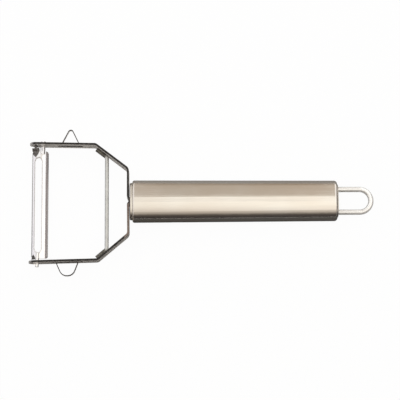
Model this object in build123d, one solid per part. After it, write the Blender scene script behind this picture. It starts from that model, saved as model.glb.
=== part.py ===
from build123d import *
from math import asin, atan2, cos, degrees, hypot, radians, sin, tan
import os

# All-steel Y-peeler, lying flat. +X runs along the handle from the blade to the hanging loop,
# +Y across it and +Z up. The origin is on the handle's flat underside, below its centre line,
# half way along the whole peeler. Millimetres and degrees.

# Handle tube: a flattened oval, a little narrower at the loop end
handle_length = 110.05
handle_height = 14.0
front_width = 22.9
rear_width = 21.9
crown_flat = 2.6            # flat strip along the top and the underside
crown_radius = 20.0         # gentle curve beside that strip
tube_wall = 0.8
front_edge_radius = 1.1
rear_edge_radius = 1.6

# Pressed caps, held behind the rolled-in lips at both ends of the tube
cap_wall = 0.8
cap_skirt = 5.0             # how far a cap reaches into the tube behind the lip
cap_fit = 0.05              # gap between a cap and the tube
front_cap_inset = 1.35      # from the tube's outside to the nose of the cap
front_cap_proud = 1.4
front_cap_rounding = 0.6
rear_cap_inset = 1.95
rear_cap_proud = 0.45
rear_cap_rounding = 0.25

# Hanging loop: one bent wire whose legs are upset behind the rear cap
loop_reach = 19.75          # from the tube's end to the far side of the loop
loop_wire = 2.8
loop_spacing = 12.4         # between the centre lines of its legs
loop_fit = 0.05
loop_tail = 3.0             # wire left behind the upset collar
collar_diameter = 3.9
collar_thickness = 0.9

# Yoke: one bent strip, wider and more splayed on the lower side
strip_width = 10.0
strip_thickness = 1.1
head_reach = 52.85          # from the arm tips to the upper half of the strip's back wall
upper_shoulder_depth = 17.4 # from that wall to an arm's bend
lower_shoulder_depth = 16.15
upper_half_width = 30.7     # handle axis to the upper arm, at its bend
upper_arm_splay = 1.15
lower_arm_splay = 1.4
upper_shoulder_angle = 37.5
lower_shoulder_angle = 40.1
arm_bend_radius = 2.0
corner_bend_radius = 2.8
arm_tip_radius = 4.6
strip_edge_radius = 0.22    # the strip's long edges are tumbled round

# Pinch and rivet that join the yoke to the front cap: the back wall bends into a pocket there
wall_gap = 0.4              # between the wall's upper half and the cap
lower_wall_near_share = 0.1 # shares of that gap by which the lower half stands nearer the cap,
lower_wall_far_share = 0.5  # at the pinch and at the wall's corner
pinch_top = 2.4             # where the wall leaves its line, above the rivet
pinch_deepest = 0.6         # where it comes to the cap, below the rivet
pinch_bottom = 1.9
pinch_bend_radius = 0.9
pocket_depth = 0.8          # pressed into the cap's face
pocket_margin = 0.15        # round the strip, in the pocket
pocket_corner_radius = 0.4
rivet_diameter = 2.2
rivet_fit = 0.05
rivet_head_diameter = 3.0
rivet_head_height = 0.5
rivet_tail_diameter = 3.8
rivet_tail_height = 1.0
washer_diameter = 7.0
washer_thickness = 0.8

# Eye removers: narrow strips lanced out of the arms
remover_width = 2.2
remover_thickness = 0.45
remover_edge_radius = 0.1
remover_slit = 0.25         # metal lost at each side of the lanced strip
remover_root = 1.5          # end of the strip that stays in the arm
pointed_foot_near = 8.7     # from the arm's bend to the near foot
pointed_foot_far = 18.6
pointed_height = 8.7        # above the arm's centre line
pointed_apex_radius = 1.3
pointed_foot_radius = 1.7
round_foot_near = 10.15
round_foot_far = 22.45
round_height = 8.0
round_base_width = 5.8      # distance between the corners of its rounded bottom
round_apex_radius = 4.0
round_foot_radius = 2.0

# Brace: a bent wire welded between the shoulders of the yoke
brace_wire_diameter = 2.1
brace_setback = 11.4        # from the back wall's centre to the wire's centre
brace_foot_length = 7.1
brace_bend_radius = 1.9
weld_set = 0.08             # how far a foot is pressed flat against the strip

# Blade: an arched, slotted strip with a rolled pin at each end
blade_width = 8.7
blade_length = 58.1
blade_thickness = 0.7
blade_arch_radius = 5.8
blade_crown_above_pivot = 0.45
blade_front_from_tip = 1.2  # arm tips to the blade's front edge
upper_blade_gap = 3.05      # upper arm to the blade's end
lower_blade_gap = 1.55      # blade's other end to the lower arm
blade_corner_radius = 1.2
slot_width = 3.1
slot_from_front = 1.6
slot_upper_margin = 4.2
slot_lower_margin = 3.9
slot_end_taper = 1.3
edge_bevel_angle = 40.0

# Pins of the blade: the axis through them is slightly skewed, as on the real one
upper_pin_from_tip = 7.0
lower_pin_from_tip = 4.4
upper_pin_diameter = 2.6
lower_pin_diameter = 1.8
upper_pin_bore = 1.5
pin_fit = 0.06
pin_seam = 0.25
upper_pin_overhang = 1.2    # beyond the arm's outer face
lower_pin_overhang = 2.0
pin_root = 1.6              # part of the pin rolled onto the blade
lower_pin_root = 2.9
petal_reach = 1.0           # barb that keeps a pin in its hole
petal_thickness = 0.4
petal_gap = 0.25            # between the barb and the arm's outer face
petal_tip_share = 0.4       # width left at the barb's outer end

# Ears: tabs bent out of the blade's ends beside its front edge
ear_thickness = 0.6
ear_seat = 0.25             # how far an ear's root stands above the blade
upper_ear_from_centre = 2.3 # blade's middle to the middle of the ear
upper_ear_width = 4.1
upper_ear_waist = 2.3       # narrower end of the ear, on the blade
upper_ear_root = 3.4        # length of the ear that lies on the blade
upper_ear_reach = 1.7
upper_ear_rise = 0.5
lower_ear_from_centre = 3.2
lower_ear_width = 2.0
lower_ear_waist = 1.2
lower_ear_root = 1.9
lower_ear_reach = 0.6
lower_ear_rise = 0.3

# Stop: a tongue on the upper ear runs in a curved slot in the arm, whose ends stop the swing
swivel_limit = 40.0
tongue_width = 1.2
tongue_past_arm = 0.2       # how far it stands out of the arm
tongue_clearance = 0.2      # beside the tongue, in the slot
stop_gap = 0.08             # left at the slot's end at the limit

overrun = 1.0               # how far a cutting shape runs past what it cuts

# Places worked out from the sizes above
axis_z = handle_height / 2
overall_length = (head_reach + strip_thickness / 2 + wall_gap + front_cap_proud
                  + handle_length + loop_reach)
tip_x = -overall_length / 2
wall_x = tip_x + head_reach
pinch_depth = wall_gap + pocket_depth
upper_bend_x = wall_x - upper_shoulder_depth
lower_bend_x = wall_x - lower_shoulder_depth
cap_face_x = wall_x + strip_thickness / 2 + wall_gap
pocket_floor_x = cap_face_x + pocket_depth
tube_front_x = cap_face_x + front_cap_proud
tube_rear_x = tube_front_x + handle_length
loop_end_x = tube_rear_x + loop_reach

# The blade hangs below the upper arm, and the lower arm stands below the blade
upper_pin_x = tip_x + upper_pin_from_tip
lower_pin_x = tip_x + lower_pin_from_tip
upper_pin_y = upper_half_width + (upper_bend_x - upper_pin_x) * tan(radians(upper_arm_splay))
blade_top_y = upper_pin_y - strip_thickness / 2 - upper_blade_gap
blade_bottom_y = blade_top_y - blade_length
lower_pin_y = blade_bottom_y - lower_blade_gap - strip_thickness / 2
lower_half_width = -lower_pin_y - (lower_bend_x - lower_pin_x) * tan(radians(lower_arm_splay))
upper_pin = Vector(upper_pin_x, upper_pin_y, axis_z)
lower_pin = Vector(lower_pin_x, lower_pin_y, axis_z)
pivot_axis = (upper_pin - lower_pin).normalized()

lower_wall_x = wall_x + wall_gap * lower_wall_far_share
lower_shoulder_run = lower_wall_x - lower_bend_x
upper_corner_y = upper_half_width - upper_shoulder_depth * tan(radians(upper_shoulder_angle))
lower_corner_y = -lower_half_width + lower_shoulder_run * tan(radians(lower_shoulder_angle))

# Both arms by their side of the handle: half width, place of the bend, splay and shoulder angle
arms = {
    1: (upper_half_width, upper_bend_x, upper_arm_splay, upper_shoulder_angle),
    -1: (lower_half_width, lower_bend_x, lower_arm_splay, lower_shoulder_angle),
}


def arm_y(side, x):
    """Centre line of an arm at x."""
    half, bend, splay, _ = arms[side]
    return side * (half + (bend - x) * tan(radians(splay)))


blade_front_x = tip_x + blade_front_from_tip
blade_centre_x = blade_front_x + blade_width / 2
blade_crown_z = axis_z + blade_crown_above_pivot


def blade_surface_z(x):
    """Top of the arched blade at x."""
    offset = x - blade_centre_x
    return blade_crown_z - blade_arch_radius + (blade_arch_radius ** 2 - offset ** 2) ** 0.5


def ear_frame(from_centre):
    """Middle of an ear on the arched blade, with its directions across and out of the blade."""
    x = blade_centre_x - from_centre
    lean = asin(from_centre / blade_arch_radius)
    return (Vector(x, 0, blade_surface_z(x)), Vector(cos(lean), 0, sin(lean)),
            Vector(-sin(lean), 0, cos(lean)))


ear_middle, ear_across, ear_normal = ear_frame(upper_ear_from_centre)
tongue_middle = ear_middle + ear_normal * (ear_seat - ear_thickness / 2 + upper_ear_rise)


def write(shape, node):
    """Write one piece to its own STEP file."""
    shape.label = node
    export_step(shape, os.path.join("parts", node + ".step"))
    print(node, "volume", round(shape.volume, 1))


def across(x):
    """Plane square to the handle at x, with Y and Z as its own directions."""
    return Plane(origin=(x, 0, axis_z), x_dir=(0, 1, 0), z_dir=(1, 0, 0))


def oval(width, inset=0):
    """Flattened oval of the handle: flats, gentle crowns and tighter sides, moved in by inset."""
    side = width / 2 - inset
    top = handle_height / 2 - inset
    crown = crown_radius - inset
    flat = crown_flat / 2
    span = side - flat
    bend = (2 * top * crown - span ** 2 - top ** 2) / (2 * (crown - span))
    lean = atan2(crown - top, side - bend - flat)
    middle = (radians(90) + lean) / 2
    crown_middle = (flat + crown * cos(middle), top - crown + crown * sin(middle))
    join = (side - bend + bend * cos(lean), bend * sin(lean))
    points = [(flat, top), crown_middle, join]
    right, left = [], []
    for sign in (1, -1):
        right.append([(x, sign * z) for x, z in points])
        left.append([(-x, sign * z) for x, z in points])
    edges = [
        Line((-flat, top), (flat, top)),
        ThreePointArc(*right[0]),
        ThreePointArc(right[0][2], (side, 0), right[1][2]),
        ThreePointArc(*right[1][::-1]),
        Line((flat, -top), (-flat, -top)),
        ThreePointArc(*left[1]),
        ThreePointArc(left[1][2], (-side, 0), left[0][2]),
        ThreePointArc(*left[0][::-1]),
    ]
    return make_face(Curve() + edges)


def width_at(x):
    """Width of the tapered tube at x."""
    share = (x - tube_front_x) / handle_length
    return front_width + (rear_width - front_width) * share


def oval_bar(x_start, x_end, inset=0):
    """Solid of the tube's section from x_start to x_end, moved in by inset."""
    ends = [across(x) * oval(width_at(x), inset) for x in (x_start, x_end)]
    return loft([end.face() for end in ends], ruled=True)


def round_bar(start, end, diameter):
    """Round bar between two points."""
    direction = Vector(end) - Vector(start)
    plane = Plane(origin=start, z_dir=direction)
    return extrude(plane * Circle(diameter / 2), direction.length)


def make_tube():
    """Seamless-looking tube with its ends rolled in to lips that hold the caps."""
    outside = oval_bar(tube_front_x, tube_rear_x)
    front_edges = outside.faces().sort_by(Axis.X)[0].edges()
    outside = fillet(front_edges, front_edge_radius)
    rear_edges = outside.faces().sort_by(Axis.X)[-1].edges()
    outside = fillet(rear_edges, rear_edge_radius)
    hollow = oval_bar(tube_front_x + tube_wall, tube_rear_x - tube_wall, tube_wall)
    front_mouth = oval_bar(tube_front_x - overrun, tube_front_x + tube_wall + overrun,
                           front_cap_inset - cap_fit)
    rear_mouth = oval_bar(tube_rear_x - tube_wall - overrun, tube_rear_x + overrun,
                          rear_cap_inset - cap_fit)
    return outside - hollow - front_mouth - rear_mouth


def make_cap(lip_x, inward, proud, nose_inset, rounding):
    """Stepped cup: a nose in the tube's mouth and a skirt behind the lip."""
    face_x = lip_x - inward * proud
    skirt_x = lip_x + inward * (tube_wall + cap_fit)
    end_x = skirt_x + inward * cap_skirt
    skirt_inset = tube_wall + cap_fit
    nose = oval_bar(face_x, skirt_x + inward * cap_wall, nose_inset)
    nose_edges = nose.faces().sort_by(Axis.X)[0 if inward > 0 else -1].edges()
    nose = fillet(nose_edges, rounding)
    skirt = oval_bar(skirt_x, end_x, skirt_inset)
    nose_hollow = oval_bar(face_x + inward * cap_wall, end_x, nose_inset + cap_wall)
    skirt_hollow = oval_bar(skirt_x + inward * cap_wall, end_x + inward * overrun,
                            skirt_inset + cap_wall)
    return nose + skirt - nose_hollow - skirt_hollow


def pocket_block(grow, start_x, end_x):
    """Block round the strip's pinch, from start_x to end_x, grown on its four sides."""
    top, bottom = pinch_top + grow, -pinch_bottom - pocket_margin - grow
    height = strip_width + 2 * (pocket_margin + grow)
    side = Plane(origin=(start_x, (top + bottom) / 2, axis_z), x_dir=(0, 1, 0), z_dir=(1, 0, 0))
    outline = RectangleRounded(top - bottom, height, pocket_corner_radius + grow)
    return extrude(side * outline, end_x - start_x)


def make_front_cap():
    """Cap with a pocket pressed into its face, where the yoke is riveted on."""
    cap = make_cap(tube_front_x, 1, front_cap_proud, front_cap_inset, front_cap_rounding)
    cap += (pocket_block(cap_wall, cap_face_x + cap_wall / 2, pocket_floor_x + cap_wall)
            & oval_bar(cap_face_x, pocket_floor_x + overrun, front_cap_inset))
    cap -= pocket_block(0, cap_face_x - overrun, pocket_floor_x)
    hole = round_bar((cap_face_x - overrun, 0, axis_z),
                     (pocket_floor_x + cap_wall + overrun, 0, axis_z),
                     rivet_diameter + 2 * rivet_fit)
    return cap - hole


def make_rear_cap():
    cap = make_cap(tube_rear_x, -1, rear_cap_proud, rear_cap_inset, rear_cap_rounding)
    for side in (-1, 1):
        y = side * loop_spacing / 2
        cap -= round_bar((tube_rear_x - 2 * overrun, y, axis_z),
                         (tube_rear_x + 2 * overrun, y, axis_z), loop_wire + 2 * loop_fit)
    return cap


def make_hanging_loop():
    """U of round wire with an upset collar on each leg, behind the rear cap."""
    half = loop_spacing / 2
    plate_x = tube_rear_x + rear_cap_proud - cap_wall
    collar_x = plate_x - collar_thickness
    start_x = collar_x - loop_tail
    arc_x = loop_end_x - loop_wire / 2 - half
    path = Curve() + [
        Line((start_x, half, axis_z), (arc_x, half, axis_z)),
        ThreePointArc((arc_x, half, axis_z), (arc_x + half, 0, axis_z), (arc_x, -half, axis_z)),
        Line((arc_x, -half, axis_z), (start_x, -half, axis_z)),
    ]
    section = Plane(origin=(start_x, half, axis_z), z_dir=(1, 0, 0)) * Circle(loop_wire / 2)
    loop = sweep(section, path=path)
    for side in (-1, 1):
        loop += round_bar((collar_x, side * half, axis_z), (plate_x, side * half, axis_z),
                          collar_diameter)
    return loop


def strip(points, radii, width, thickness, edge_radius):
    """Bent strip with its flat side upright, along rounded points in the plane z = axis_z."""
    path = FilletPolyline(*[(x, y, axis_z) for x, y in points], radius=radii)
    start, heading = path @ 0, path % 0
    section = Plane(origin=start, x_dir=(0, 0, 1), z_dir=heading) * RectangleRounded(
        width, thickness, edge_radius)
    return sweep(section, path=path)


def arm_point(side, along, out):
    """Place on an arm: along from its bend towards the tip, out from its centre line."""
    half, bend, splay, _ = arms[side]
    lean = radians(splay)
    return (bend - along * cos(lean) + out * sin(lean),
            side * (half + along * sin(lean) + out * cos(lean)))


def make_remover(side, near, far, shape, apex_radius, foot_radius):
    """Lanced strip from foot to foot, through the points of shape above the arm."""
    corners = [(near, 0)] + shape + [(far, 0)]
    ends = [(near - remover_root - foot_radius, 0), (far + remover_root + foot_radius, 0)]
    route = [arm_point(side, *place) for place in [ends[0]] + corners + [ends[1]]]
    radii = [foot_radius] + [apex_radius] * len(shape) + [foot_radius]
    return strip(route, radii, remover_width, remover_thickness, remover_edge_radius)


def slit_for(side, near, far, foot_radius):
    """Opening that the lanced strip leaves in its arm."""
    start = arm_point(side, near - foot_radius, 0)
    end = arm_point(side, far + foot_radius, 0)
    length = hypot(end[0] - start[0], end[1] - start[1])
    lean = degrees(atan2(end[1] - start[1], end[0] - start[0]))
    middle = ((start[0] + end[0]) / 2, (start[1] + end[1]) / 2, axis_z)
    opening = Box(length, strip_thickness + 2 * overrun, remover_width + 2 * remover_slit)
    return Location(middle, (0, 0, lean)) * opening


def make_tip_cutter(side):
    """Prism that rounds the arms' tips, seen from the side, above or below the axis."""
    radius = arm_tip_radius
    edge = side * strip_width / 2
    centre = (tip_x + radius, edge - side * radius)
    middle = (centre[0] - radius * cos(radians(45)), centre[1] + side * radius * sin(radians(45)))
    outside_x, outside_z = tip_x - overrun, edge + side * overrun
    outline = Curve() + [
        ThreePointArc((tip_x, centre[1]), middle, (centre[0], edge)),
        Polyline((centre[0], edge), (centre[0], outside_z), (outside_x, outside_z),
                 (outside_x, centre[1]), (tip_x, centre[1])),
    ]
    side_view = Plane(origin=(0, 0, axis_z), x_dir=(1, 0, 0), z_dir=(0, -1, 0))
    reach = upper_half_width + lower_half_width
    return extrude(side_view * make_face(outline), reach, both=True)


def make_yoke():
    """Bent strip with rounded tips, pin holes, a pinch and the two eye removers."""
    points = [(tip_x, arm_y(1, tip_x)), (upper_bend_x, upper_half_width),
              (wall_x, upper_corner_y), (wall_x, pinch_top), (wall_x + pinch_depth, -pinch_deepest),
              (wall_x + wall_gap * lower_wall_near_share, -pinch_bottom),
              (lower_wall_x, lower_corner_y), (lower_bend_x, -lower_half_width),
              (tip_x, arm_y(-1, tip_x))]
    radii = ([arm_bend_radius, corner_bend_radius] + [pinch_bend_radius] * 3
             + [corner_bend_radius, arm_bend_radius])
    yoke = strip(points, radii, strip_width, strip_thickness, strip_edge_radius)
    for side in (1, -1):
        yoke -= make_tip_cutter(side)

    apex = (pointed_foot_near + pointed_foot_far) / 2
    rise = pointed_height - remover_thickness / 2
    slope = atan2(rise, (pointed_foot_far - pointed_foot_near) / 2)
    lost_tip = pointed_apex_radius * (1 / cos(slope) - 1)
    pointed = [(apex, rise + lost_tip)]
    middle = (round_foot_near + round_foot_far) / 2
    depth = round_height - remover_thickness / 2
    rounded = [(middle - round_base_width / 2, depth), (middle + round_base_width / 2, depth)]
    yoke -= slit_for(1, pointed_foot_near, pointed_foot_far, pointed_foot_radius)
    yoke -= slit_for(-1, round_foot_near, round_foot_far, round_foot_radius)
    yoke += make_remover(1, pointed_foot_near, pointed_foot_far, pointed, pointed_apex_radius,
                         pointed_foot_radius)
    yoke += make_remover(-1, round_foot_near, round_foot_far, rounded, round_apex_radius,
                         round_foot_radius)

    reach = pivot_axis * (strip_thickness + overrun)
    yoke -= round_bar(upper_pin - reach, upper_pin + reach, upper_pin_diameter + 2 * pin_fit)
    yoke -= round_bar(lower_pin - reach, lower_pin + reach, lower_pin_diameter + 2 * pin_fit)

    yoke -= make_stop_slot()

    free_x, seat_x = wall_x - strip_thickness, pocket_floor_x - strip_thickness
    yoke -= round_bar((free_x, 0, axis_z), (pocket_floor_x + overrun, 0, axis_z),
                      rivet_diameter + 2 * rivet_fit)
    yoke -= round_bar((free_x, 0, axis_z), (seat_x, 0, axis_z),
                      rivet_head_diameter + 2 * rivet_fit)
    return yoke


def foot_line(side):
    """Where the brace's wire runs along a shoulder: a point on it and its heading to the arm."""
    half, bend, _, shoulder_angle = arms[side]
    angle = radians(shoulder_angle)
    inward = strip_thickness / 2 + brace_wire_diameter / 2 - weld_set
    start = (bend - inward * sin(angle), side * (half - inward * cos(angle)))
    return start, (-cos(angle), side * sin(angle))


def make_brace(yoke):
    """Straight wire whose ends turn along the shoulders, each with a flat where it is welded."""
    x = wall_x - brace_setback
    corners, feet = [], []
    for side in (1, -1):
        start, heading = foot_line(side)
        travel = (x - start[0]) / heading[0]
        corner = (x, start[1] + travel * heading[1])
        corners.append(corner)
        feet.append((corner[0] + brace_foot_length * heading[0],
                     corner[1] + brace_foot_length * heading[1]))
    route = [feet[0], corners[0], corners[1], feet[1]]
    path = FilletPolyline(*[(px, py, axis_z) for px, py in route], radius=brace_bend_radius)
    section = Plane(origin=path @ 0, z_dir=path % 0) * Circle(brace_wire_diameter / 2)
    return sweep(section, path=path) - yoke


def make_rivet():
    """Rivet with a flat head in the pinch and an upset tail behind the washer."""
    head_x = pocket_floor_x - strip_thickness
    washer_x = pocket_floor_x + cap_wall
    tail_x = washer_x + washer_thickness
    head = round_bar((head_x - rivet_head_height, 0, axis_z), (head_x, 0, axis_z),
                     rivet_head_diameter)
    head = fillet(head.edges().sort_by(Axis.X)[0], rivet_head_height / 2)
    shank = round_bar((head_x, 0, axis_z), (tail_x, 0, axis_z), rivet_diameter)
    tail = round_bar((tail_x, 0, axis_z), (tail_x + rivet_tail_height, 0, axis_z),
                     rivet_tail_diameter)
    tail = fillet(tail.edges().sort_by(Axis.X)[-1], rivet_tail_height / 2)
    return head + shank + tail


def make_washer():
    x = pocket_floor_x + cap_wall
    disc = round_bar((x, 0, axis_z), (x + washer_thickness, 0, axis_z), washer_diameter)
    hole = round_bar((x - overrun, 0, axis_z), (x + washer_thickness + overrun, 0, axis_z),
                     rivet_diameter + 2 * rivet_fit)
    return disc - hole


def make_blade_strip():
    """Arched strip with rounded corners, cut from a tube wall."""
    centre_z = blade_crown_z - blade_arch_radius
    lengthwise = Plane(origin=(blade_centre_x, blade_bottom_y, centre_z),
                       x_dir=(1, 0, 0), z_dir=(0, 1, 0))
    ring = Circle(blade_arch_radius) - Circle(blade_arch_radius - blade_thickness)
    tube = extrude(lengthwise * ring, blade_length)
    middle_y = (blade_top_y + blade_bottom_y) / 2
    keep = Pos(blade_centre_x, middle_y, blade_crown_z) * extrude(
        RectangleRounded(blade_width, blade_length, blade_corner_radius),
        blade_arch_radius, both=True)
    return tube & keep & Pos(blade_centre_x, middle_y, blade_crown_z) * Box(
        blade_width, blade_length, blade_arch_radius)


def make_slot():
    """Cutting shape of the blade's slot: tapered ends and bevelled long sides."""
    left = blade_front_x + slot_from_front
    right = left + slot_width
    top = blade_top_y - slot_upper_margin
    bottom = blade_bottom_y + slot_lower_margin
    neck = slot_width / 4
    outline = [(left, top - slot_end_taper), (left + neck, top), (right - neck, top),
               (right, top - slot_end_taper), (right, bottom + slot_end_taper),
               (right - neck, bottom), (left + neck, bottom), (left, bottom + slot_end_taper)]
    floor_z = blade_surface_z(left) - blade_thickness
    shape = make_face(Polyline(*outline, close=True))
    straight = extrude(Pos(0, 0, floor_z - overrun) * shape, blade_arch_radius)
    bevel = extrude(Pos(0, 0, floor_z) * shape, blade_thickness * 2, taper=-edge_bevel_angle)
    return straight + bevel


def make_ear(side):
    """Tab beside the blade's front edge: flat on the blade, then rising towards the arm."""
    if side > 0:
        from_centre, width, waist, rise = (upper_ear_from_centre, upper_ear_width,
                                           upper_ear_waist, upper_ear_rise)
        end_y, root, reach = blade_top_y, upper_ear_root, upper_ear_reach
    else:
        from_centre, width, waist, rise = (lower_ear_from_centre, lower_ear_width,
                                           lower_ear_waist, lower_ear_rise)
        end_y, root, reach = blade_bottom_y, lower_ear_root, lower_ear_reach
    middle, across_ear, normal = ear_frame(from_centre)
    inner_y, outer_y = end_y - side * root, end_y + side * reach
    low, high = ear_seat - ear_thickness, ear_seat
    profile = [(inner_y, low), (end_y, low), (outer_y, low + rise),
               (outer_y, high + rise), (end_y, high), (inner_y, high)]
    side_view = Plane(origin=middle - across_ear * (width / 2), x_dir=(0, 1, 0),
                      z_dir=across_ear)
    plate = extrude(side_view * make_face(Polyline(*profile, close=True)), width)
    wide, narrow = width / 2, waist / 2
    outline = [(-wide, outer_y), (wide, outer_y), (wide, end_y), (narrow, end_y - side * narrow),
               (0, inner_y), (-narrow, end_y - side * narrow), (-wide, end_y)]
    plan = Plane(origin=middle, x_dir=across_ear, z_dir=normal)
    return plate & extrude(plan * make_face(Polyline(*outline, close=True)),
                           rise + ear_thickness + overrun, both=True)


def make_tongue():
    """Narrow end of the upper ear that passes through the slot in the arm."""
    start_y = blade_top_y + upper_ear_reach - ear_thickness
    end_y = upper_pin.Y + strip_thickness / 2 + tongue_past_arm
    section = Plane(origin=(tongue_middle.X, start_y, tongue_middle.Z), x_dir=ear_across,
                    z_dir=(0, 1, 0)) * Rectangle(tongue_width, ear_thickness)
    return extrude(section, end_y - start_y)


def make_stop_slot():
    """Slot round the upper pin, as long as the tongue's swing."""
    from_pin = tongue_middle - upper_pin
    radius = hypot(from_pin.X, from_pin.Z)
    half_height = hypot(tongue_width, ear_thickness) / 2 + tongue_clearance
    bearings = []
    for along in (-tongue_width / 2, tongue_width / 2):
        for out in (-ear_thickness / 2, ear_thickness / 2):
            corner = from_pin + ear_across * along + ear_normal * out
            bearings.append(atan2(corner.Z, -corner.X))
    swing = radians(swivel_limit) + stop_gap / radius
    first, last = min(bearings) - swing, max(bearings) + swing
    near, far = [[(reach * cos(turn), reach * sin(turn))
                  for turn in (first, (first + last) / 2, last)]
                 for reach in (radius - half_height, radius + half_height)]
    outline = Curve() + [ThreePointArc(*near), Line(near[2], far[2]),
                         ThreePointArc(*far[::-1]), Line(far[0], near[0])]
    view = Plane(origin=upper_pin, x_dir=(-1, 0, 0), z_dir=(0, 1, 0))
    return extrude(view * make_face(outline), strip_thickness + overrun, both=True)


def make_pin(place, direction, diameter, root, overhang):
    """Round pin along the pivot axis, from on the blade to beyond the arm."""
    tip = place + direction * (strip_thickness / 2 + overhang)
    start = place - direction * (strip_thickness / 2 + root)
    return round_bar(start, tip, diameter)


def make_petal(place, direction, diameter, overhang):
    """Barb at a pin's end, widest beside the arm."""
    base = place + direction * (strip_thickness / 2 + petal_gap)
    height = overhang - petal_gap
    upright = Plane(origin=base - Vector(0, 0, petal_thickness),
                    x_dir=direction.cross(Vector(0, 0, 1)), z_dir=(0, 0, 1))
    narrow = diameter * petal_tip_share
    wedge = Polyline((0, 0), (diameter / 2 + petal_reach, 0), (narrow, height), (0, height),
                     close=True)
    return extrude(upright * make_face(wedge), 2 * petal_thickness)


def make_blade():
    """Blade with slot, ears and rolled pins, all one stamping."""
    blade = make_blade_strip() - make_slot()
    for side in (1, -1):
        blade += make_ear(side)
    blade += make_tongue()
    upper_root = upper_blade_gap + pin_root
    down = pivot_axis * -1
    blade += make_pin(upper_pin, pivot_axis, upper_pin_diameter, upper_root,
                      upper_pin_overhang)
    blade += make_pin(lower_pin, down, lower_pin_diameter, lower_blade_gap + lower_pin_root,
                      lower_pin_overhang)
    bore_start = upper_pin - pivot_axis * (strip_thickness / 2 + upper_blade_gap)
    bore_end = upper_pin + pivot_axis * (strip_thickness / 2 + upper_pin_overhang + overrun)
    blade -= round_bar(bore_start, bore_end, upper_pin_bore)
    seam_length = (bore_end - bore_start).length
    seam_plane = Plane(origin=(bore_start + bore_end) / 2, x_dir=(1, 0, 0), z_dir=(0, 0, 1))
    seam = extrude(seam_plane * Rectangle(pin_seam, seam_length), upper_pin_diameter)
    blade -= seam.rotate(Axis((bore_start + bore_end) / 2, (0, 0, 1)),
                         -degrees(atan2(pivot_axis.X, pivot_axis.Y)))
    blade += make_petal(upper_pin, pivot_axis, upper_pin_diameter, upper_pin_overhang)
    blade += make_petal(lower_pin, down, lower_pin_diameter, lower_pin_overhang)
    return blade


def main():
    os.makedirs("parts", exist_ok=True)
    yoke = make_yoke()
    pieces = {
        "handle_tube": make_tube(),
        "front_cap": make_front_cap(),
        "rear_cap": make_rear_cap(),
        "hanging_loop": make_hanging_loop(),
        "yoke": yoke,
        "brace_wire": make_brace(yoke),
        "yoke_rivet": make_rivet(),
        "rivet_washer": make_washer(),
        "blade": make_blade(),
    }
    for node, shape in pieces.items():
        write(shape, node)
    print("overall length", overall_length)
    print("pins", upper_pin, lower_pin, "axis", pivot_axis)


main()
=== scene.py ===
import math

import bpy
from mathutils import Matrix, Vector


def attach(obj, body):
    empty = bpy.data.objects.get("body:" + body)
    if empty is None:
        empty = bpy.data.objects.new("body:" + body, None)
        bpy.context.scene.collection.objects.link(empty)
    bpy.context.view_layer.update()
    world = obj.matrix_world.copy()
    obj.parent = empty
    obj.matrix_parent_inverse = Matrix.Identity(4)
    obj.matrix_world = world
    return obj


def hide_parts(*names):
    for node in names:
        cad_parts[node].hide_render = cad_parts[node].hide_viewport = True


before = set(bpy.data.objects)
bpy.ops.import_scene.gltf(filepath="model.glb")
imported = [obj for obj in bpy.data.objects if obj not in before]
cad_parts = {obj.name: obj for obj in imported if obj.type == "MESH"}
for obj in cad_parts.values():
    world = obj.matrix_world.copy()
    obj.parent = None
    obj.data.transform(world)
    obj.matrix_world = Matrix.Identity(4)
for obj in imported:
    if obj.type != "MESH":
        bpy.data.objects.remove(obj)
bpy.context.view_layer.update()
mm = 0.001
axisHeight = 7 * mm  # centre line of the whole peeler above the table
print("frame loaded:", ", ".join(sorted(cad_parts)))


# Node tree helpers: add a node with its settings, and feed its sockets by name
def addNode(tree, kind, inputs=None, **settings):
    node = tree.nodes.new(kind)
    for name, value in settings.items():
        setattr(node, name, value)
    for name, value in (inputs or {}).items():
        if isinstance(value, bpy.types.NodeSocket):
            tree.links.new(value, node.inputs[name])
        else:
            node.inputs[name].default_value = value
    return node


def calc(tree, operation, first, second=0.0, clamp=False):
    node = addNode(tree, "ShaderNodeMath", operation=operation, use_clamp=clamp)
    for place, value in enumerate((first, second)):
        if isinstance(value, bpy.types.NodeSocket):
            tree.links.new(value, node.inputs[place])
        else:
            node.inputs[place].default_value = value
    return node.outputs[0]


def remap(tree, value, low, high, newLow=0.0, newHigh=1.0, smooth=False):
    node = addNode(tree, "ShaderNodeMapRange", {
        "Value": value, "From Min": low, "From Max": high, "To Min": newLow, "To Max": newHigh},
        interpolation_type="SMOOTHSTEP" if smooth else "LINEAR")
    return node.outputs["Result"]


def mixColour(tree, share, first, second):
    node = addNode(tree, "ShaderNodeMix", data_type="RGBA", clamp_factor=True)
    for name, value in (("Factor_Float", share), ("A_Color", first), ("B_Color", second)):
        socket = next(s for s in node.inputs if s.identifier == name)
        if isinstance(value, bpy.types.NodeSocket):
            tree.links.new(value, socket)
        else:
            socket.default_value = value
    return next(s for s in node.outputs if s.identifier == "Result_Color")


def grain(tree, coordinates, stretch, detail=3.0, scale=1.0, roughness=0.55):
    # noise drawn out along the directions whose stretch is small
    mapping = addNode(tree, "ShaderNodeMapping", {"Vector": coordinates, "Scale": stretch})
    noise = addNode(tree, "ShaderNodeTexNoise", {
        "Vector": mapping.outputs["Vector"], "Scale": scale, "Detail": detail, "Roughness": roughness})
    return noise.outputs["Fac"]


def tone(colour):
    return (*colour, 1.0)


def startMetal(name):
    material = bpy.data.materials.new(name)
    material.use_nodes = True
    tree = material.node_tree
    shader = tree.nodes["Principled BSDF"]
    shader.inputs["Metallic"].default_value = 1.0
    place = addNode(tree, "ShaderNodeTexCoord")
    return material, tree, shader, place


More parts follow.
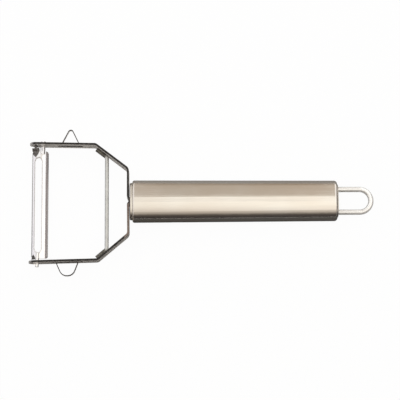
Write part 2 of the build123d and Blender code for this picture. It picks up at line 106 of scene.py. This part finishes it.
def bumpFrom(tree, height, distance, strength=1.0, before=None):
    inputs = {"Height": height, "Distance": distance, "Strength": strength}
    if before is not None:
        inputs["Normal"] = before
    return addNode(tree, "ShaderNodeBump", inputs).outputs["Normal"]


# Handle: satin steel brushed lengthwise, a little warm, with its ground-off seam weld underneath
handleLook = {
    "colour": (0.66, 0.60, 0.53),
    "coolerColour": (0.70, 0.67, 0.62),
    "roughness": 0.16,
    "roughnessSwing": 0.08,
    "smudgeRoughness": 0.04,
    "scratchRoughness": 0.05,
    "grainStretch": (26, 2600, 2600),
    "grainDepth": 0.000003,
    "waveDepth": 0.00012,
    "seamHalfWidth": 0.9,      # mm
    "seamColour": (0.50, 0.46, 0.41),
    "seamDepth": 0.00004,
}


def handleSteel():
    material, tree, shader, place = startMetal("handleSteel")
    position = place.outputs["Object"]
    spot = addNode(tree, "ShaderNodeSeparateXYZ", {"Vector": position})
    lines = grain(tree, position, handleLook["grainStretch"], detail=4.0)
    clouds = grain(tree, position, (22, 60, 60), detail=2.0)
    waves = grain(tree, position, (14, 38, 38), detail=1.0)
    smudges = grain(tree, position, (90, 150, 150), detail=4.0, roughness=0.7)
    scratches = remap(tree, grain(tree, position, (110, 1700, 900), detail=1.0), 0.66, 0.72, smooth=True)
    under = remap(tree, spot.outputs["Z"], 1.5 * mm, 1.2 * mm, smooth=True)
    width = handleLook["seamHalfWidth"] * mm
    seam = calc(tree, "MULTIPLY", under, remap(tree, calc(tree, "ABSOLUTE", spot.outputs["Y"]),
                                               width, width * 0.6, smooth=True))
    colour = mixColour(tree, remap(tree, clouds, 0.3, 0.7), tone(handleLook["colour"]),
                       tone(handleLook["coolerColour"]))
    colour = mixColour(tree, seam, colour, tone(handleLook["seamColour"]))
    tree.links.new(colour, shader.inputs["Base Color"])
    swing = handleLook["roughnessSwing"] / 2
    rough = remap(tree, lines, 0.3, 0.7, handleLook["roughness"] - swing, handleLook["roughness"] + swing)
    rough = calc(tree, "ADD", rough, remap(tree, smudges, 0.45, 0.75, 0.0, handleLook["smudgeRoughness"]))
    localMark = calc(tree, "MAXIMUM", scratches, seam)
    rough = calc(tree, "ADD", rough, calc(tree, "MULTIPLY", localMark, handleLook["scratchRoughness"]))
    tree.links.new(rough, shader.inputs["Roughness"])
    ripple = calc(tree, "MULTIPLY", seam, grain(tree, position, (700, 300, 300), detail=1.0))
    normal = bumpFrom(tree, waves, handleLook["waveDepth"])
    normal = bumpFrom(tree, lines, handleLook["grainDepth"], before=normal)
    normal = bumpFrom(tree, ripple, handleLook["seamDepth"], before=normal)
    tree.links.new(normal, shader.inputs["Normal"])
    return material


capLook = {
    "colour": (0.68, 0.64, 0.58),
    "shade": (0.58, 0.54, 0.48),
    "roughness": (0.18, 0.32),
    "gapShadeColour": (0.16, 0.12, 0.10),   # painted shade on the front cap's face, in the narrow gap behind the yoke's wall
    "rimFrom": -38.15,         # mm, along X
    "rimTo": -38.35,
}


def capSteel():
    material, tree, shader, place = startMetal("capSteel")
    position = place.outputs["Object"]
    clouds = grain(tree, position, (300, 300, 300), detail=3.0)
    colour = mixColour(tree, remap(tree, clouds, 0.3, 0.7), tone(capLook["colour"]),
                       tone(capLook["shade"]))
    spot = addNode(tree, "ShaderNodeSeparateXYZ", {"Vector": position})
    # painted shade: darkens the front cap's face where it sits in the gap behind the yoke's wall
    gapShade = remap(tree, calc(tree, "ADD", spot.outputs["X"], calc(tree, "MULTIPLY", clouds, 0.3 * mm)),
                  capLook["rimFrom"] * mm, capLook["rimTo"] * mm, smooth=True)
    colour = mixColour(tree, gapShade, colour, tone(capLook["gapShadeColour"]))
    tree.links.new(colour, shader.inputs["Base Color"])
    tree.links.new(remap(tree, clouds, 0.3, 0.7, *capLook["roughness"]), shader.inputs["Roughness"])
    tree.links.new(bumpFrom(tree, clouds, 0.00002), shader.inputs["Normal"])
    return material


# Drawn wire: the loop is polished, the brace is duller, with a painted dark reflection on its feet at the
# welds
wireLooks = {
    "loop": {"colour": (0.96, 0.955, 0.94), "shade": (0.90, 0.895, 0.88), "metal": 0.5,
             "roughness": (0.16, 0.28)},
    "brace": {"colour": (0.62, 0.62, 0.60), "shade": (0.52, 0.52, 0.50), "metal": 0.7,
              "roughness": (0.34, 0.46), "footReflection": (0.16, 0.15, 0.125), "footReflectionShade": (0.07, 0.065, 0.06),
              "footReflectionRoughness": 0.42},
}


def wireSteel(name, look):
    material, tree, shader, place = startMetal(name + "Steel")
    shader.inputs["Metallic"].default_value = look["metal"]
    position = place.outputs["Object"]
    along = addNode(tree, "ShaderNodeAttribute", attribute_name="along").outputs["Fac"]
    around = addNode(tree, "ShaderNodeAttribute", attribute_name="around").outputs["Fac"]
    course = addNode(tree, "ShaderNodeCombineXYZ", {"X": along, "Y": around})
    drawn = grain(tree, course.outputs["Vector"], (9, 60, 1), detail=3.0)
    clouds = grain(tree, position, (250, 250, 250), detail=3.0)
    colour = mixColour(tree, remap(tree, clouds, 0.3, 0.7), tone(look["colour"]), tone(look["shade"]))
    low, high = look["roughness"]
    rough = remap(tree, drawn, 0.3, 0.7, low, high)
    if "footReflection" in look:
        # painted dark reflection on the feet, growing towards both ends
        fromEnd = calc(tree, "MINIMUM", along, calc(tree, "SUBTRACT", 1.0, along))
        atFeet = remap(tree, calc(tree, "ADD", fromEnd, calc(tree, "MULTIPLY", clouds, 0.02)),
                    0.125, 0.095, smooth=True)
        footReflection = mixColour(tree, remap(tree, clouds, 0.4, 0.62), tone(look["footReflection"]), tone(look["footReflectionShade"]))
        colour = mixColour(tree, atFeet, colour, footReflection)
        rough = calc(tree, "MAXIMUM", rough, calc(tree, "MULTIPLY", atFeet, look["footReflectionRoughness"]))
    tree.links.new(colour, shader.inputs["Base Color"])
    tree.links.new(rough, shader.inputs["Roughness"])
    normal = bumpFrom(tree, drawn, 0.000008)
    tree.links.new(bumpFrom(tree, clouds, 0.00001, before=normal), shader.inputs["Normal"])
    return material


# Yoke: rolled strip with a satin face, and rough sheared edges coloured with a painted dark reflection
yokeLook = {
    "faceColour": (0.86, 0.84, 0.81),
    "faceShade": (0.74, 0.72, 0.69),
    "faceMetal": 0.55,         # the rolled skin is partly dull, so it takes light from all round
    "faceRoughness": 0.36,
    "edgeDarkReflection": (0.03, 0.028, 0.026),
    "edgeDarkReflectionDeep": (0.075, 0.072, 0.068),
    "edgeRoughness": 0.5,
    "lowerWallColour": (0.24, 0.19, 0.165),   # lower half of the wall, where its edge colour is browner
    "lowerWallDeep": (0.15, 0.12, 0.105),
    "lowerWallBelow": (-1.2, -2.4),  # mm, along Y, fading in
    "lowerWallBehind": (-42, -41),   # mm, along X
    "tipHighlight": (0.42, 0.41, 0.40),     # painted highlight on the rounded ends of both arms
    "tipAhead": (-90.3, -91.6), # mm, along X
}


def yokeSteel():
    material, tree, shader, place = startMetal("yokeSteel")
    position = place.outputs["Object"]
    facing = addNode(tree, "ShaderNodeSeparateXYZ", {"Vector": place.outputs["Normal"]})
    sheared = remap(tree, calc(tree, "ABSOLUTE", facing.outputs["Z"]), 0.35, 0.8, smooth=True)
    lines = grain(tree, position, (60, 60, 2500), detail=3.0)
    specks = grain(tree, position, (900, 900, 900), detail=2.0)
    face = mixColour(tree, remap(tree, lines, 0.3, 0.7), tone(yokeLook["faceColour"]),
                     tone(yokeLook["faceShade"]))
    # painted dark reflection on the sheared edges, which face up and down
    edge = mixColour(tree, remap(tree, specks, 0.45, 0.75), tone(yokeLook["edgeDarkReflection"]),
                     tone(yokeLook["edgeDarkReflectionDeep"]))
    spot = addNode(tree, "ShaderNodeSeparateXYZ", {"Vector": position})
    lower, wall, tip = (
        remap(tree, spot.outputs[axis], *(edge * mm for edge in yokeLook[name]), smooth=True)
        for axis, name in (("Y", "lowerWallBelow"), ("X", "lowerWallBehind"), ("X", "tipAhead")))
    # the edge colour turns browner on the lower half of the wall
    localMark = mixColour(tree, remap(tree, specks, 0.4, 0.7), tone(yokeLook["lowerWallColour"]),
                     tone(yokeLook["lowerWallDeep"]))
    edge = mixColour(tree, calc(tree, "MULTIPLY", lower, wall), edge, localMark)
    # painted highlight: the arm tips are lighter than the dark edges
    edge = mixColour(tree, tip, edge, tone(yokeLook["tipHighlight"]))
    tree.links.new(mixColour(tree, sheared, face, edge), shader.inputs["Base Color"])
    tree.links.new(remap(tree, sheared, 0.0, 1.0, yokeLook["faceMetal"], 1.0), shader.inputs["Metallic"])
    rough = remap(tree, sheared, 0.0, 1.0, yokeLook["faceRoughness"], yokeLook["edgeRoughness"])
    tree.links.new(rough, shader.inputs["Roughness"])
    normal = bumpFrom(tree, lines, 0.000004)
    tree.links.new(bumpFrom(tree, specks, 0.00002, before=normal), shader.inputs["Normal"])
    return material


# Blade: bright ground strip; its ears, and the blade right beside them, carry painted shade
bladeLook = {
    "colour": (0.80, 0.79, 0.78),
    "shade": (0.74, 0.73, 0.73),
    "slotWallLight": (0.92, 0.91, 0.90),
    "slotMetal": 0.2,
    "slotMiddle": -88.15,      # mm
    "slotReach": (2.55, 2.4),  # mm to each side of its middle, fading in
    "slotEnds": (27.6, 27.3),  # mm from the head's middle
    "earPaintedTone": (0.16, 0.15, 0.14),
    "earPaintedDeepTone": (0.06, 0.055, 0.05),
    "roughness": (0.08, 0.18),
    "earRoughness": 0.38,
}
# mm: middle in X, its half width, end of the blade in Y, and how far the ear runs along it and past it
earPlaces = [
    {"x": -89.5, "half": 2.1, "waist": 1.5, "end": 27.67, "root": 3.3, "reach": 5.0},
    {"x": -90.2, "half": 1.2, "waist": 0.9, "end": -30.42, "root": 2.3, "reach": 0.8},
]


def earMask(tree, along, across):
    # 1 on the ears: wide past the blade's end, then narrowing to a point on the blade
    masks = []
    for ear in earPlaces:
        side = 1 if ear["end"] > 0 else -1
        past = calc(tree, "SUBTRACT", calc(tree, "MULTIPLY", along, side), abs(ear["end"]) * mm)
        point = remap(tree, past, -ear["root"] * mm, -ear["waist"] * mm, 0.0, ear["waist"] * mm)
        shoulder = remap(tree, past, -ear["waist"] * mm, 0.0, 0.0, (ear["half"] - ear["waist"]) * mm)
        half = calc(tree, "ADD", point, shoulder)
        off = calc(tree, "ABSOLUTE", calc(tree, "SUBTRACT", across, ear["x"] * mm))
        inside = remap(tree, calc(tree, "SUBTRACT", half, off), 0.0, 0.12 * mm, smooth=True)
        started = remap(tree, past, -ear["root"] * mm, (0.3 - ear["root"]) * mm, smooth=True)
        ended = remap(tree, past, (ear["reach"] + 0.1) * mm, ear["reach"] * mm, smooth=True)
        masks.append(calc(tree, "MULTIPLY", inside, calc(tree, "MULTIPLY", started, ended)))
    return calc(tree, "MAXIMUM", *masks)


def bladeSteel():
    material, tree, shader, place = startMetal("bladeSteel")
    position = place.outputs["Object"]
    spot = addNode(tree, "ShaderNodeSeparateXYZ", {"Vector": position})
    facing = addNode(tree, "ShaderNodeSeparateXYZ", {"Vector": place.outputs["Normal"]})
    lines = grain(tree, position, (2500, 60, 900), detail=3.0)
    specks = grain(tree, position, (800, 800, 800), detail=3.0)
    face = mixColour(tree, remap(tree, lines, 0.3, 0.7), tone(bladeLook["colour"]),
                     tone(bladeLook["shade"]))
    shadedEars = mixColour(tree, remap(tree, specks, 0.4, 0.65), tone(bladeLook["earPaintedTone"]),
                      tone(bladeLook["earPaintedDeepTone"]))
    # painted light: the slot's walls, which face its middle line, are pale and barely metallic so their
    # shade doesn't show
    offset = calc(tree, "SUBTRACT", spot.outputs["X"], bladeLook["slotMiddle"] * mm)
    within = remap(tree, calc(tree, "ABSOLUTE", offset), *(edge * mm for edge in bladeLook["slotReach"]),
                   smooth=True)
    inward = calc(tree, "MULTIPLY", calc(tree, "MULTIPLY", calc(tree, "SIGN", offset), -1.0),
                  facing.outputs["X"])
    endwise = calc(tree, "ABSOLUTE", facing.outputs["Y"])
    wall = remap(tree, calc(tree, "MAXIMUM", inward, endwise), 0.2, 0.4, smooth=True)
    longWay = remap(tree, calc(tree, "ABSOLUTE", spot.outputs["Y"]),
                    *(edge * mm for edge in bladeLook["slotEnds"]), smooth=True)
    litSlotWall = calc(tree, "MULTIPLY", calc(tree, "MULTIPLY", within, wall), longWay)
    # painted shade on the ears, and a little past them onto the blade
    ears = earMask(tree, spot.outputs["Y"], spot.outputs["X"])
    colour = mixColour(tree, litSlotWall, face, tone(bladeLook["slotWallLight"]))
    tree.links.new(mixColour(tree, ears, colour, shadedEars), shader.inputs["Base Color"])
    litSlotWall = calc(tree, "MULTIPLY", litSlotWall, calc(tree, "SUBTRACT", 1.0, ears))
    tree.links.new(remap(tree, litSlotWall, 0.0, 1.0, 1.0, bladeLook["slotMetal"]), shader.inputs["Metallic"])
    rough = remap(tree, lines, 0.3, 0.7, *bladeLook["roughness"])
    rough = calc(tree, "MAXIMUM", rough, calc(tree, "MULTIPLY", ears, bladeLook["earRoughness"]))
    tree.links.new(rough, shader.inputs["Roughness"])
    tree.links.new(bumpFrom(tree, lines, 0.000003), shader.inputs["Normal"])
    return material


def dress(node, material):
    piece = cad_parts[node]
    for slot in piece.material_slots:
        slot.material = material


brightCap = capSteel()
dress("handle_tube", handleSteel())
for node in ("front_cap", "rear_cap", "yoke_rivet", "rivet_washer"):
    dress(node, brightCap)
dress("yoke", yokeSteel())
dress("blade", bladeSteel())
print("materials made")


# Geometry Nodes helpers: a group with named inputs, run on a guide mesh and turned into a plain mesh
def startGroup(name, inputs):
    group = bpy.data.node_groups.new(name, "GeometryNodeTree")
    group.interface.new_socket("Geometry", in_out="INPUT", socket_type="NodeSocketGeometry")
    group.interface.new_socket("Geometry", in_out="OUTPUT", socket_type="NodeSocketGeometry")
    sockets = {}
    for title, (kind, value) in inputs.items():
        socket = group.interface.new_socket(title, in_out="INPUT", socket_type="NodeSocket" + kind)
        if value is not None:
            socket.default_value = value
        sockets[title] = socket.identifier
    return group, addNode(group, "NodeGroupInput"), addNode(group, "NodeGroupOutput"), sockets


def grow(name, guide, group, sockets, values, body, node=None):
    # the guide is a mesh of points and edges; its result stands for the node, if one is given
    mesh = bpy.data.meshes.new(name + "Guide")
    mesh.from_pydata(guide["points"], guide.get("edges", []), [])
    holder = bpy.data.objects.new(name + "Guide", mesh)
    bpy.context.scene.collection.objects.link(holder)
    modifier = holder.modifiers.new("shape", "NODES")
    modifier.node_group = group
    for title, value in values.items():
        modifier[sockets[title]] = value
    view = bpy.context.evaluated_depsgraph_get()
    view.update()
    shape = bpy.data.meshes.new_from_object(holder.evaluated_get(view), depsgraph=view)
    holder.modifiers.remove(modifier)
    bpy.data.objects.remove(holder)
    shape.name = name
    piece = bpy.data.objects.new(name, shape)
    bpy.context.scene.collection.objects.link(piece)
    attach(piece, body)
    if node:
        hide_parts(node)
    return piece


def wireGroup():
    # a guide of straight runs: its corners are rounded, then a round section follows it
    group, given, result, sockets = startGroup("bentWire", {
        "Wire Diameter": ("Float", 0.0025), "Bend Radius": ("Float", 0.002), "Bend Steps": ("Int", 24),
        "Sides": ("Int", 40), "Material": ("Material", None)})
    line = addNode(group, "GeometryNodeMeshToCurve", {"Mesh": given.outputs["Geometry"]})
    bent = addNode(group, "GeometryNodeFilletCurve", {
        "Curve": line.outputs["Curve"], "Radius": given.outputs["Bend Radius"],
        "Count": given.outputs["Bend Steps"]}, mode="POLY")
    course = addNode(group, "GeometryNodeSplineParameter")
    marked = addNode(group, "GeometryNodeStoreNamedAttribute", {
        "Geometry": bent.outputs["Curve"], "Name": "along", "Value": course.outputs["Factor"]},
        data_type="FLOAT", domain="POINT")
    half = calc(group, "MULTIPLY", given.outputs["Wire Diameter"], 0.5)
    ring = addNode(group, "GeometryNodeCurvePrimitiveCircle", {
        "Resolution": given.outputs["Sides"], "Radius": half}, mode="RADIUS")
    turn = addNode(group, "GeometryNodeSplineParameter")
    section = addNode(group, "GeometryNodeStoreNamedAttribute", {
        "Geometry": ring.outputs["Curve"], "Name": "around", "Value": turn.outputs["Factor"]},
        data_type="FLOAT", domain="POINT")
    skin = addNode(group, "GeometryNodeCurveToMesh", {
        "Curve": marked.outputs["Geometry"], "Profile Curve": section.outputs["Geometry"],
        "Fill Caps": True})
    real = addNode(group, "GeometryNodeRealizeInstances", {"Geometry": skin.outputs["Mesh"]})
    dressed = addNode(group, "GeometryNodeSetMaterial", {
        "Geometry": real.outputs["Geometry"], "Material": given.outputs["Material"]})
    group.links.new(dressed.outputs["Geometry"], result.inputs["Geometry"])
    return group, sockets


def smoothSides(piece, angle):
    # round faces shade smoothly, and edges sharper than the angle stay crisp
    mesh = piece.data
    mesh.shade_smooth()
    mesh.set_sharp_from_angle(angle=math.radians(angle))


# Hanging loop: straight legs from behind the rear cap, and a half circle (mm)
loopPlan = {
    "wire": 2.8, "spacing": 12.4, "start": 68.5, "end": 92.5, "bendSteps": 64,
}
bentWire, wireSockets = wireGroup()


def makeLoop():
    half, far = loopPlan["spacing"] / 2, loopPlan["end"] - loopPlan["wire"] / 2
    corners = [(loopPlan["start"], half), (far, half), (far, -half), (loopPlan["start"], -half)]
    guide = {"points": [(x * mm, y * mm, axisHeight) for x, y in corners],
             "edges": [(0, 1), (1, 2), (2, 3)]}
    values = {"Wire Diameter": loopPlan["wire"] * mm, "Bend Radius": half * mm,
              "Bend Steps": loopPlan["bendSteps"], "Sides": 48,
              "Material": wireSteel("loop", wireLooks["loop"])}
    loop = grow("hangingLoop", guide, bentWire, wireSockets, values, "frame", "hanging_loop")
    smoothSides(loop, 40)


makeLoop()
print("hanging loop made")


# Brace: straight wire whose ends turn along the shoulders, with the weld metal pressed out there (mm)
bracePlan = {
    "wire": 2.1, "bend": 1.9, "across": -51.05,
    "upperCorner": 24.18, "upperFoot": (-56.68, 28.5),
    "lowerCorner": -25.74, "lowerFoot": (-56.48, -30.31),
    "weldsPerFoot": 3, "weldReach": 5.2, "weldSize": (1.3, 0.5, 1.0), "seed": 11,
}


def makeBrace():
    plan = bracePlan
    corners = [plan["upperFoot"], (plan["across"], plan["upperCorner"]),
               (plan["across"], plan["lowerCorner"]), plan["lowerFoot"]]
    guide = {"points": [(x * mm, y * mm, axisHeight) for x, y in corners],
             "edges": [(0, 1), (1, 2), (2, 3)]}
    values = {"Wire Diameter": plan["wire"] * mm, "Bend Radius": plan["bend"] * mm, "Bend Steps": 24,
              "Sides": 40, "Material": wireSteel("brace", wireLooks["brace"])}
    brace = grow("brace", guide, bentWire, wireSockets, values, "frame", "brace_wire")
    smoothSides(brace, 40)


def weldGroup():
    # flattened beads along each run of the guide, a little uneven
    group, given, result, sockets = startGroup("weldBeads", {
        "Beads": ("Int", 3), "Size": ("Vector", (0.001, 0.0005, 0.001)), "Seed": ("Int", 1),
        "Material": ("Material", None)})
    line = addNode(group, "GeometryNodeMeshToCurve", {"Mesh": given.outputs["Geometry"]})
    spots = addNode(group, "GeometryNodeCurveToPoints", {
        "Curve": line.outputs["Curve"], "Count": given.outputs["Beads"]}, mode="COUNT")
    bead = addNode(group, "GeometryNodeMeshIcoSphere", {"Radius": 1.0, "Subdivisions": 3})
    uneven = addNode(group, "FunctionNodeRandomValue", {"Seed": given.outputs["Seed"]},
                     data_type="FLOAT_VECTOR")
    uneven.inputs[0].default_value, uneven.inputs[1].default_value = (0.8, 0.85, 0.75), (1.1, 1.1, 1.05)
    size = addNode(group, "ShaderNodeVectorMath", operation="MULTIPLY")
    group.links.new(given.outputs["Size"], size.inputs[0])
    group.links.new(uneven.outputs[0], size.inputs[1])
    facing = addNode(group, "FunctionNodeAlignRotationToVector", {"Vector": spots.outputs["Tangent"]},
                     axis="X", pivot_axis="Z")
    placed = addNode(group, "GeometryNodeInstanceOnPoints", {
        "Points": spots.outputs["Points"], "Instance": bead.outputs["Mesh"],
        "Rotation": facing.outputs["Rotation"], "Scale": size.outputs["Vector"]})
    real = addNode(group, "GeometryNodeRealizeInstances", {"Geometry": placed.outputs["Instances"]})
    dressed = addNode(group, "GeometryNodeSetMaterial", {
        "Geometry": real.outputs["Geometry"], "Material": given.outputs["Material"]})
    group.links.new(dressed.outputs["Geometry"], result.inputs["Geometry"])
    return group, sockets


weldLook = {"colour": (0.12, 0.11, 0.10), "shade": (0.05, 0.045, 0.04), "roughness": 0.5}


def weldSteel():
    material, tree, shader, place = startMetal("weldSteel")
    clouds = grain(tree, place.outputs["Object"], (700, 700, 700), detail=3.0)
    colour = mixColour(tree, remap(tree, clouds, 0.35, 0.65), tone(weldLook["colour"]),
                       tone(weldLook["shade"]))
    tree.links.new(colour, shader.inputs["Base Color"])
    shader.inputs["Roughness"].default_value = weldLook["roughness"]
    tree.links.new(bumpFrom(tree, clouds, 0.00005), shader.inputs["Normal"])
    return material


def makeWelds():
    plan = bracePlan
    points, edges = [], []
    for side, corner, foot in ((1, plan["upperCorner"], plan["upperFoot"]),
                               (-1, plan["lowerCorner"], plan["lowerFoot"])):
        run = Vector((foot[0] - plan["across"], foot[1] - corner, 0))
        heading = run.normalized()
        out = Vector((heading.y, -heading.x, 0)) * side * (plan["wire"] / 2)
        start = Vector((foot[0], foot[1], 0)) - heading * plan["weldSize"][0] / 2 + out
        for reach in (0, plan["weldReach"] - plan["weldSize"][0]):
            x, y, _ = start - heading * reach
            points.append((x * mm, y * mm, axisHeight))
        edges.append((len(points) - 2, len(points) - 1))
    group, sockets = weldGroup()
    values = {"Beads": plan["weldsPerFoot"], "Size": [value / 2 * mm for value in plan["weldSize"]],
              "Seed": plan["seed"], "Material": weldSteel()}
    welds = grow("braceWelds", {"points": points, "edges": edges}, group, sockets, values,
                 "frame")
    smoothSides(welds, 60)


makeBrace()
makeWelds()
print("brace made")


# Studio: white table, a cloth tent overhead, and cards at both ends that only the steel sees
studio = {
    "tableSize": 8.0,
    "tableOwnLight": 0.96,     # share of its white that needs no lamp, for camera and reflections
    "tableSeenMatte": 0.9,
    "frontMatte": 0.12,        # painted shade: greyer where the steel mirrors it from close by, in front
    "backMatte": 0.40,         # and behind
    "matteFrom": -0.012,       # m, along Y
    "matteTo": 0.035,
    "mirrorNear": 0.15,        # the steel mirrors the lit table up to here, its own white beyond
    "mirrorFar": 0.7,
    "lightHeight": 0.95,
    "lightFrom": -12.0,        # degrees from straight up, positive towards the front
    "lightTo": 16.0,
    "lightLength": 2.6,
    "lightRadiance": 0.15,
    "tentRadius": 1.15,
    "tentLength": 3.0,
    "tanMiddle": 0.08,         # the tan cloth behind the handle, along X
    "tanReach": 0.17,
    "tanSoftness": 0.03,
    "dimmerEnd": (-0.1, 0.93),  # the cloth glows a little more towards the loop's end
    "brighterEnd": (0.17, 1.09),
}
# brightness of the tent from the back edge of the table, over the top, to its front edge
tentStops = [
    (-90, (0.33, 0.27, 0.22)),
    (-60, (0.58, 0.50, 0.41)),
    (-14, (0.64, 0.57, 0.49)),
    (-11, (1.28, 1.25, 1.19)),
    (0, (1.21, 1.17, 1.08)),
    (8, (1.12, 1.07, 0.99)),
    (17, (0.99, 0.93, 0.86)),
    (25, (0.79, 0.74, 0.67)),
    (42, (0.44, 0.40, 0.36)),
    (52, (0.18, 0.16, 0.14)),
    (63, (0.09, 0.08, 0.075)),
    (90, (0.05, 0.045, 0.045)),
]
tentWhite = (1.24, 1.23, 1.22)  # back cloth beyond the tan part, which the blade mirrors
endCards = {"left": (1.1, 1.08, 1.12), "right": (0.36, 0.32, 0.31)}


def emissive(name):
    material = bpy.data.materials.new(name)
    material.use_nodes = True
    tree = material.node_tree
    tree.nodes.remove(tree.nodes["Principled BSDF"])
    return material, tree, tree.nodes["Material Output"]


def makeTable():
    half = studio["tableSize"] / 2
    mesh = bpy.data.meshes.new("table")
    corners = [(-half, -half, 0), (half, -half, 0), (half, half, 0), (-half, half, 0)]
    mesh.from_pydata(corners, [], [(0, 1, 2, 3)])
    table = bpy.data.objects.new("table", mesh)
    bpy.context.scene.collection.objects.link(table)
    material, tree, output = emissive("whiteTable")
    rays = addNode(tree, "ShaderNodeLightPath")
    mirrored = calc(tree, "MAXIMUM", rays.outputs["Is Glossy Ray"], rays.outputs["Is Transmission Ray"])
    far = remap(tree, rays.outputs["Ray Length"], studio["mirrorNear"], studio["mirrorFar"], smooth=True)
    seen = calc(tree, "MAXIMUM", rays.outputs["Is Camera Ray"], calc(tree, "MULTIPLY", mirrored, far))
    share = calc(tree, "MULTIPLY", seen, studio["tableOwnLight"])
    place = addNode(tree, "ShaderNodeTexCoord")
    spot = addNode(tree, "ShaderNodeSeparateXYZ", {"Vector": place.outputs["Object"]})
    behind = remap(tree, spot.outputs["Y"], studio["matteFrom"], studio["matteTo"], smooth=True)
    greys = [tone((studio[name],) * 3) for name in ("tableSeenMatte", "frontMatte", "backMatte")]
    near = mixColour(tree, behind, greys[1], greys[2])
    matte = addNode(tree, "ShaderNodeBsdfDiffuse", {"Color": mixColour(tree, mirrored, greys[0], near)})
    glow = addNode(tree, "ShaderNodeEmission", {"Color": (1, 1, 1, 1), "Strength": 1.0})
    mix = addNode(tree, "ShaderNodeMixShader", {"Fac": share})
    tree.links.new(matte.outputs[0], mix.inputs[1])
    tree.links.new(glow.outputs[0], mix.inputs[2])
    tree.links.new(mix.outputs[0], output.inputs["Surface"])
    mesh.materials.append(material)
    return table


def hideFromCamera(thing):
    thing.visible_camera = False
    thing.visible_shadow = False


def makeTent():
    # half a tunnel along X, glowing by its place round the arch
    radius, half, steps = studio["tentRadius"], studio["tentLength"] / 2, 90
    points, faces = [], []
    for step in range(steps + 1):
        turn = math.radians(-90 + 180 * step / steps)
        y, z = -radius * math.sin(turn), radius * math.cos(turn)
        points += [(-half, y, z), (half, y, z)]
    for step in range(steps):
        first = 2 * step
        faces.append((first, first + 1, first + 3, first + 2))
    mesh = bpy.data.meshes.new("tent")
    mesh.from_pydata(points, [], faces)
    sweep = mesh.attributes.new("sweep", "FLOAT", "POINT")
    for index in range(len(points)):
        sweep.data[index].value = (index // 2) / steps
    tent = bpy.data.objects.new("tent", mesh)
    bpy.context.scene.collection.objects.link(tent)
    material, tree, output = emissive("tentCloth")
    around = addNode(tree, "ShaderNodeAttribute", attribute_name="sweep")
    ramp = addNode(tree, "ShaderNodeValToRGB", {"Fac": around.outputs["Fac"]})
    place = addNode(tree, "ShaderNodeTexCoord")
    along = addNode(tree, "ShaderNodeSeparateXYZ", {"Vector": place.outputs["Object"]})
    fromMiddle = calc(tree, "ABSOLUTE", calc(tree, "SUBTRACT", along.outputs["X"], studio["tanMiddle"]))
    beside = remap(tree, fromMiddle, studio["tanReach"] - studio["tanSoftness"],
                   studio["tanReach"] + studio["tanSoftness"], smooth=True)
    behind = remap(tree, around.outputs["Fac"], 0.45, 0.43, smooth=True)
    cloth = mixColour(tree, calc(tree, "MULTIPLY", beside, behind), ramp.outputs["Color"],
                      tone(tentWhite))
    stops = ramp.color_ramp.elements
    for place, (degrees, colour) in enumerate(tentStops):
        share = (degrees + 90) / 180
        stop = stops[place] if place < 2 else stops.new(share)
        stop.position = share
        stop.color = tone(colour)
    (dimX, dim), (brightX, bright) = studio["dimmerEnd"], studio["brighterEnd"]
    strength = remap(tree, along.outputs["X"], dimX, brightX, dim, bright)
    glow = addNode(tree, "ShaderNodeEmission", {"Color": cloth, "Strength": strength})
    tree.links.new(glow.outputs[0], output.inputs["Surface"])
    mesh.materials.append(material)
    hideFromCamera(tent)


def makeEndCard(name, side, colour):
    radius, half, steps = studio["tentRadius"], studio["tentLength"] / 2, 48
    turns = [math.pi * step / steps for step in range(steps + 1)]
    rim = [(side * half, -radius * math.cos(turn), radius * math.sin(turn)) for turn in turns]
    mesh = bpy.data.meshes.new(name)
    mesh.from_pydata(rim, [], [tuple(range(len(rim)))])
    card = bpy.data.objects.new(name, mesh)
    bpy.context.scene.collection.objects.link(card)
    material, tree, output = emissive(name + "Cloth")
    glow = addNode(tree, "ShaderNodeEmission", {"Color": tone(colour)})
    tree.links.new(glow.outputs[0], output.inputs["Surface"])
    mesh.materials.append(material)
    hideFromCamera(card)


def makeTopLight():
    height = studio["lightHeight"]
    nearY = -height * math.tan(math.radians(studio["lightTo"]))
    farY = -height * math.tan(math.radians(studio["lightFrom"]))
    lamp = bpy.data.lights.new("topLight", "AREA")
    lamp.shape = "RECTANGLE"
    lamp.size = studio["lightLength"]
    lamp.size_y = farY - nearY
    lamp.energy = studio["lightRadiance"] * math.pi * lamp.size * lamp.size_y
    lamp.color = (1.0, 0.985, 0.95)
    holder = bpy.data.objects.new("topLight", lamp)
    holder.location = (0, (nearY + farY) / 2, height)
    bpy.context.scene.collection.objects.link(holder)


def makeWorld():
    world = bpy.data.worlds.new("paleRoom")
    world.use_nodes = True
    world.node_tree.nodes["Background"].inputs["Color"].default_value = (1, 1, 1, 1)
    world.node_tree.nodes["Background"].inputs["Strength"].default_value = 1.0
    bpy.context.scene.world = world


makeTable()
makeTent()
for name, side in (("left", -1), ("right", 1)):
    makeEndCard(name + "Card", side, endCards[name])
makeTopLight()
makeWorld()
bpy.context.scene.view_settings.view_transform = "Standard"
print("studio made")


# Camera: almost straight down, as in the photograph
cameraPlan = {
    "lookAt": (-1.0 * mm, 0.759 * mm, axisHeight),
    "elevation": 80.4,
    "yaw": -1.2,               # it stands a little nearer the head than the loop
    "distance": 0.8,
    "pictureWidth": 0.21512,   # across the picture, at the object's distance
    "roll": -0.41,
}


def makeCamera():
    data = bpy.data.cameras.new("camera")
    data.sensor_width = 36.0
    data.lens = data.sensor_width * cameraPlan["distance"] / cameraPlan["pictureWidth"]
    data.clip_start, data.clip_end = 0.01, 20.0
    camera = bpy.data.objects.new("camera", data)
    bpy.context.scene.collection.objects.link(camera)
    yaw = Matrix.Rotation(math.radians(cameraPlan["yaw"]), 4, "Y")
    tilt = yaw @ Matrix.Rotation(math.radians(90 - cameraPlan["elevation"]), 4, "X")
    roll = Matrix.Rotation(math.radians(cameraPlan["roll"]), 4, "Z")
    back = tilt @ Vector((0, 0, cameraPlan["distance"]))
    camera.matrix_world = Matrix.Translation(Vector(cameraPlan["lookAt"]) + back) @ tilt @ roll
    bpy.context.scene.camera = camera


makeCamera()
print("camera made")
